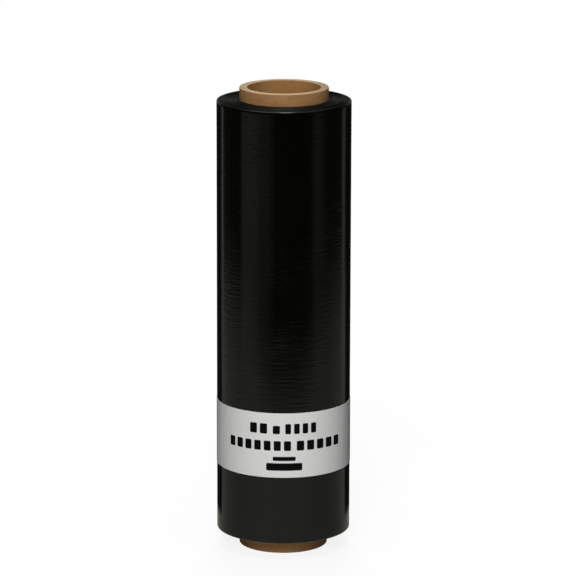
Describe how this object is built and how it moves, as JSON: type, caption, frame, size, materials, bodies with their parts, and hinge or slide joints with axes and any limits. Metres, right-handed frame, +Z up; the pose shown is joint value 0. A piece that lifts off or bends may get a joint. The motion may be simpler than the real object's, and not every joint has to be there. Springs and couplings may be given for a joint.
{
  "type": "stretch wrap roll",
  "caption": "Black stretch film wound on a cardboard core that stands out at both ends, with a printed paper band round the film.",
  "frame": {"origin": "centre of the core's low end, on the surface that the roll stands on", "axes": "+Z up along the roll's axis, +Y towards the glued lap at the back of the paper band, -Y towards the band's printed face"},
  "size_m": [0.1402, 0.1406, 0.4878],
  "materials": {
    "core_card": "matte",
    "black_film": "gloss",
    "band_paper": "matte"
  },
  "bodies": {
    "root": {"core": "core_card", "film_roll": "black_film", "label_band": "band_paper"}
  },
  "joints": []
}
